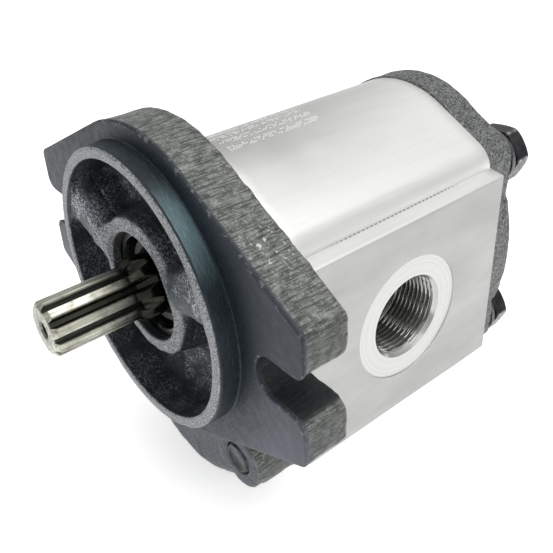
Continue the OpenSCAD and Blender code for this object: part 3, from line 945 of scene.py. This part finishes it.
def aluminium_paint():
    """Extruded aluminium: drawn lines, greyer port faces, turned seats and peened dots on top."""
    paint = Paint("aluminium_extrusion")
    x, y, z = (paint.axis(name) for name in "XYZ")
    out = paint.math("ABSOLUTE", x)
    drawn = paint.noise(900, 3, (1, 0.02, 1))
    fine = paint.noise(3200, 2, (1, 0.015, 1))
    colour = paint.patchy(45, 3, 0.35, 0.65, (0.47, 0.467, 0.452), (0.54, 0.537, 0.52))
    # Brighter towards the sides and towards the back: a painted light gradient over the aluminium's own
    # mottle.
    colour = paint.mix(paint.ramp(out, 0.012, 0.030, 0, 0.8), colour, (0.80, 0.797, 0.78))
    colour = paint.mix(paint.ramp(y, 0.04, 0.095, 0, 0.9), colour, (0.80, 0.797, 0.78))
    colour = paint.mix(paint.ramp(drawn, 0.52, 0.72, 0, 0.10), colour, (0.40, 0.395, 0.39))
    upright = paint.ramp(paint.math("ABSOLUTE", paint.facing("X")), 0.8, 0.97)
    face_x, ledge_z = PORT_FACE_X * MM, LEDGE_Z * MM
    smear = paint.ramp(paint.noise(60, 4, (1, 0.4, 1)), 0.35, 0.65)
    port_face = paint.mix(smear, (0.38, 0.38, 0.375), (0.46, 0.46, 0.45))
    outermost = paint.ramp(out, face_x - 0.0021, face_x - 0.0006)
    colour = paint.mix(paint.product(upright, outermost), colour, port_face)
    from_port = paint.reach(
        paint.math("SUBTRACT", y, MID_Y * MM), paint.math("SUBTRACT", z, MID_Z * MM))
    port_r, seat_r = PORT_R * MM, SEAT_R * MM
    seat = paint.product(
        paint.ramp(from_port, seat_r - 0.0001, seat_r - 0.0004),
        paint.ramp(from_port, port_r, port_r + 0.0002), paint.ramp(out, face_x - 0.0046, face_x - 0.0041))
    settings = {"W": from_port, "Scale": 1500.0, "Detail": 2.0}
    rings = paint.add("ShaderNodeTexNoise", settings, noise_dimensions="1D").outputs["Fac"]
    turned = paint.mix(paint.ramp(rings, 0.35, 0.65), (0.57, 0.57, 0.56), (0.63, 0.63, 0.615))
    colour = paint.mix(seat, colour, turned)
    # Inside the port bore the colour is made darker, more so deeper in: painted shade.
    bore = paint.ramp(from_port, port_r + 0.00115, port_r + 0.001)
    deep = paint.product(bore, paint.ramp(out, face_x - 0.0014, face_x - 0.0086, 0.35, 1))
    colour = paint.mix(paint.product(deep, 0.8), colour, (0.15, 0.155, 0.14))
    # A thin dark dashed line where the ledge meets the shoulder: painted shade in the crease.
    painted_crease_shade = paint.product(
        paint.band(z, ledge_z + 0.0004, ledge_z + 0.00075, 0.0001),
        paint.band(out, face_x - 0.0052, face_x - 0.0050, 0.00025))
    dashes = paint.ramp(paint.math("PINGPONG", y, 0.0008), 0.0004, 0.0005, 0.1, 1)
    dashes = paint.product(dashes, paint.band(y, 0.040, 0.078, 0.008))
    colour = paint.mix(paint.product(painted_crease_shade, dashes, 0.7), colour, (0.06, 0.06, 0.06))
    dots = marks(paint, x, y, z)
    colour = paint.mix(paint.product(dots, 0.95), colour, (1, 1, 1))
    roughness = paint.product(paint.ramp(fine, 0.35, 0.65, 0.38, 0.50), paint.ramp(bore, 0, 1, 1, 0.42))
    paint.plug(paint.shader.inputs["Metallic"], paint.ramp(dots, 0, 1, 0.75, 0.05))
    return paint.finish(
        colour, roughness, (drawn, 0.012), (fine, 0.008),
        (paint.product(rings, seat), 0.012), (paint.product(dots, -1.0), 0.2))


def marks(paint, x, y, z):
    """Rows of peened dots on top of the body, a share of them left out at random places."""
    places = [paint.math("DIVIDE", value, DOT_PITCH * MM) for value in (x, y)]
    numbers = [paint.math("ROUND", place) for place in places]
    offsets = [paint.math("SUBTRACT", place, number) for place, number in zip(places, numbers)]
    dots = paint.ramp(paint.reach(*offsets), 0.26, 0.44, 1, 0)
    spot = paint.add("ShaderNodeCombineXYZ", {"X": numbers[0], "Y": numbers[1]}).outputs[0]
    chance = paint.add("ShaderNodeTexWhiteNoise", {"Vector": spot}).outputs["Value"]
    kept = paint.math("GREATER_THAN", chance, 0.38)
    block_x = paint.band(x, DOTS_LEFT * MM, DOTS_RIGHT * MM, 0.0001)
    block_y = paint.band(y, DOTS_FRONT * MM, DOTS_BACK * MM, 0.0001)
    row = paint.math("PINGPONG", paint.math("SUBTRACT", x, DOTS_LEFT * MM), DOT_ROW * MM / 2)
    row = paint.ramp(row, 0.0005, 0.0006)
    on_top = paint.ramp(z, 0.018, 0.019)
    return paint.product(dots, kept, block_x, block_y, row, on_top)


def steel_paint(name, colour, dark, metallic=1.0, rough=(0.2, 0.36), turned=True):
    """Machined or coated steel with fine marks round its axis, stains and rubbed patches."""
    paint = Paint(name, metallic=metallic)
    stretch = (0.15, 6, 0.15) if turned else (1, 1, 1)
    lines = paint.noise(700, 3, stretch)
    stain = paint.noise(260, 4)
    patches = paint.ramp(stain, 0.45, 0.7, 0, 0.2)
    base = paint.mix(paint.ramp(lines, 0.4, 0.7), colour, dark)
    base = paint.mix(patches, base, times(dark, 0.5))
    roughness = paint.ramp(paint.math("ADD", lines, stain), 0.7, 1.3, *rough)
    return paint.finish(base, roughness, (lines, 0.012), (paint.noise(3000, 2), 0.006))


def splined_steel_paint():
    """Steel cut along its axis: rubbed bright on the lands, darker the deeper a point lies in a spline
    groove, and dark from the neck back towards the cover.
    """
    paint = Paint("splined_shaft_steel", metallic=1.0)
    lines = paint.noise(1500, 3, (1, 0.05, 1))
    stain = paint.noise(300, 4)
    land = paint.mix(paint.ramp(lines, 0.35, 0.65), (0.60, 0.60, 0.52), (0.27, 0.27, 0.22))
    land = paint.mix(paint.ramp(stain, 0.5, 0.7, 0, 0.5), land, (0.14, 0.13, 0.10))
    # Darker the deeper a point lies in a spline groove, and dark from the neck back towards the cover.
    valley = paint.ramp(paint.attribute("valley"), 0.03, 0.6, 0, 0.95)
    neck = paint.ramp(paint.axis("Y"), -0.0112, -0.0086, 0, 0.97)
    colour = paint.mix(paint.math("MAXIMUM", valley, neck), land, (0.018, 0.018, 0.015))
    roughness = paint.ramp(paint.math("ADD", lines, stain), 0.7, 1.3, 0.22, 0.42)
    return paint.finish(colour, roughness, (lines, 0.03), (paint.noise(3000, 2), 0.008))


def bolt_paint():
    """Black oxide, rubbed to bare metal at the edges of the head."""
    paint = Paint("black_oxide", metallic=0.8)
    stain = paint.noise(260, 4)
    base = paint.mix(paint.ramp(stain, 0.4, 0.65), (0.022, 0.023, 0.027), (0.055, 0.055, 0.06))
    rub = paint.product(paint.attribute("worn"), paint.ramp(paint.noise(500, 3), 0.38, 0.6, 0.15, 0.8))
    colour = paint.mix(rub, base, (0.50, 0.50, 0.49))
    roughness = paint.ramp(paint.noise(700, 3), 0.35, 0.65, 0.2, 0.36)
    return paint.finish(colour, roughness, (stain, 0.012), (paint.noise(3000, 2), 0.006))


def moulded_paint(name, colour, rough):
    """Rubber or plastic with a faint mottle."""
    paint = Paint(name)
    mottle = paint.noise(400, 4)
    base = paint.mix(paint.ramp(mottle, 0.35, 0.65), colour, times(colour, 1.35))
    roughness = paint.ramp(mottle, 0.3, 0.7, rough - 0.06, rough + 0.08)
    return paint.finish(base, roughness, (paint.noise(2200, 3), 0.02))


# ---- assembly ----

FINE = 0.45

cast_iron = front_iron_paint()
rear_iron = rear_iron_paint()
aluminium = aluminium_paint()
splined_steel = splined_steel_paint()
shaft_steel = steel_paint("ground_shaft_steel", (0.55, 0.52, 0.42), (0.26, 0.24, 0.18))
black_oxide = bolt_paint()
washer_steel = steel_paint("washer_steel", (0.10, 0.10, 0.11), (0.18, 0.18, 0.19), 0.9, (0.25, 0.4), False)
bearing_alloy = steel_paint("bearing_alloy", (0.70, 0.71, 0.72), (0.55, 0.56, 0.57), 1.0, (0.3, 0.5))
bronze = steel_paint("bush_bronze", (0.62, 0.42, 0.22), (0.45, 0.30, 0.16), 1.0, (0.25, 0.4))
seal_steel = steel_paint("seal_case_steel", (0.14, 0.14, 0.14), (0.07, 0.07, 0.075), 1.0, (0.3, 0.45))
spring_steel = steel_paint("spring_steel", (0.10, 0.10, 0.10), (0.18, 0.17, 0.16), 1.0, (0.2, 0.35))
dowel_steel = steel_paint("dowel_steel", (0.60, 0.60, 0.61), (0.45, 0.45, 0.46), 1.0, (0.2, 0.3))
rubber = moulded_paint("seal_rubber", (0.018, 0.018, 0.02), 0.5)
backup_plastic = moulded_paint("backup_plastic", (0.72, 0.70, 0.62), 0.42)

SINGLE_LOOKS = {
    "driven_gear_shaft": shaft_steel, "seal_retaining_ring": spring_steel,
    "shaft_seal_case": seal_steel, "shaft_seal_lip": rubber, "shaft_seal_spring": spring_steel,
}
PAIR_LOOKS = {
    "bearing_block": bearing_alloy, "drive_bush": bronze, "driven_bush": bronze, "dowels": dowel_steel,
    "body_seal": rubber, "pressure_seal": rubber, "backup_ring": backup_plastic,
}


def coat(piece, look):
    piece.data.materials.clear()
    piece.data.materials.append(look)


for node, look in SINGLE_LOOKS.items():
    coat(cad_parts[node], look)
for node, look in PAIR_LOOKS.items():
    coat(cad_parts["front_" + node], look)
    coat(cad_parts["rear_" + node], look)


def install(piece, node, body, look):
    """Puts a finished piece in place of a CAD node."""
    coat(piece, look)
    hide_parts(node)
    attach(piece, body)


install(make_front_cover(FINE), "front_cover", "housing", cast_iron)
install(make_rear_cover(FINE), "rear_cover", "housing", rear_iron)
install(make_body(), "body", "housing", aluminium)
install(make_drive_shaft(), "drive_gear_shaft", "drive", splined_steel)
install(make_bolts(), "through_bolts", "housing", black_oxide)
install(make_washers(), "bolt_washers", "housing", washer_steel)


# ---- floor, light and camera ----

LIGHT_AIM = Vector((0, 0.04, -0.01))


def make_floor():
    """A pale floor under the object that glows a little, so that it stays white."""
    size = 3000
    corners = np.array([(-size, -size), (size, -size), (size, size), (-size, size)])
    points = np.column_stack([corners, np.full(4, cad_bounds[0][2] / MM)])
    floor = mesh_object("floor", points, [[0, 1, 2, 3]])
    paint = Paint("pale_floor")
    colour = paint.patchy(3, 3, 0.3, 0.7, (0.93, 0.93, 0.93), (0.96, 0.96, 0.96))
    paint.shader.inputs["Emission Color"].default_value = (1, 1, 1, 1)
    paint.shader.inputs["Emission Strength"].default_value = 0.45
    coat(floor, paint.finish(colour, 0.9))


def add_light(name, place, size, power):
    light = bpy.data.lights.new(name, "AREA")
    light.shape = "RECTANGLE"
    light.size, light.size_y = size
    light.energy = power
    lamp = scene_object(name, light)
    lamp.location = place
    lamp.rotation_euler = (LIGHT_AIM - Vector(place)).to_track_quat("-Z", "Y").to_euler()


def add_world():
    """A white studio: bright overhead, darker towards the horizon, plain white where it is seen."""
    world = bpy.data.worlds.new("studio")
    bpy.context.scene.world = world
    sky = Nodes(world)
    direction = sky.add("ShaderNodeTexCoord").outputs["Generated"]
    climb = sky.add("ShaderNodeSeparateXYZ", {0: direction}).outputs["Z"]
    glow = sky.ramp(climb, 0.0, 0.75, 0.38, 0.85)
    seen = sky.add("ShaderNodeLightPath").outputs["Is Camera Ray"]
    strength = sky.add("ShaderNodeMix", {0: seen, 2: glow, 3: 1.0}).outputs[0]
    background = sky.tree.nodes["Background"]
    sky.plug(background.inputs["Strength"], strength)
    sky.plug(background.inputs["Color"], (1, 1, 1, 1))


def add_camera():
    """Camera to the front right and above, its lens shifted a little downwards."""
    azimuth, elevation, roll = map(math.radians, (52.213, 29.914, -2.614))
    offset = Vector((-34.699, -17.367, -204.397))
    back = Vector((
        math.sin(azimuth) * math.cos(elevation),
        -math.cos(azimuth) * math.cos(elevation),
        math.sin(elevation),
    ))
    level_right = Vector((math.cos(azimuth), math.sin(azimuth), 0))
    level_up = back.cross(level_right)
    right = level_right * math.cos(roll) + level_up * math.sin(roll)
    up = level_up * math.cos(roll) - level_right * math.sin(roll)
    place = -(right * offset.x + up * offset.y + back * offset.z) * MM
    data = bpy.data.cameras.new("camera")
    data.sensor_width = 36
    data.lens = 47.917
    data.shift_y = -0.1022
    data.clip_start = 0.01
    camera = scene_object("camera", data)
    camera.matrix_world = Matrix.Translation(place) @ Matrix((right, up, back)).transposed().to_4x4()
    bpy.context.scene.camera = camera


bpy.context.scene.view_settings.view_transform = "Standard"
make_floor()
add_world()
add_light("softbox_above", (0.15, 0.10, 0.75), (0.7, 0.7), 2.6)
add_light("softbox_right", (0.75, 0.10, 0.30), (0.5, 0.6), 0.7)
add_light("softbox_front", (0.10, -0.75, 0.35), (0.5, 0.4), 0.4)
add_camera()
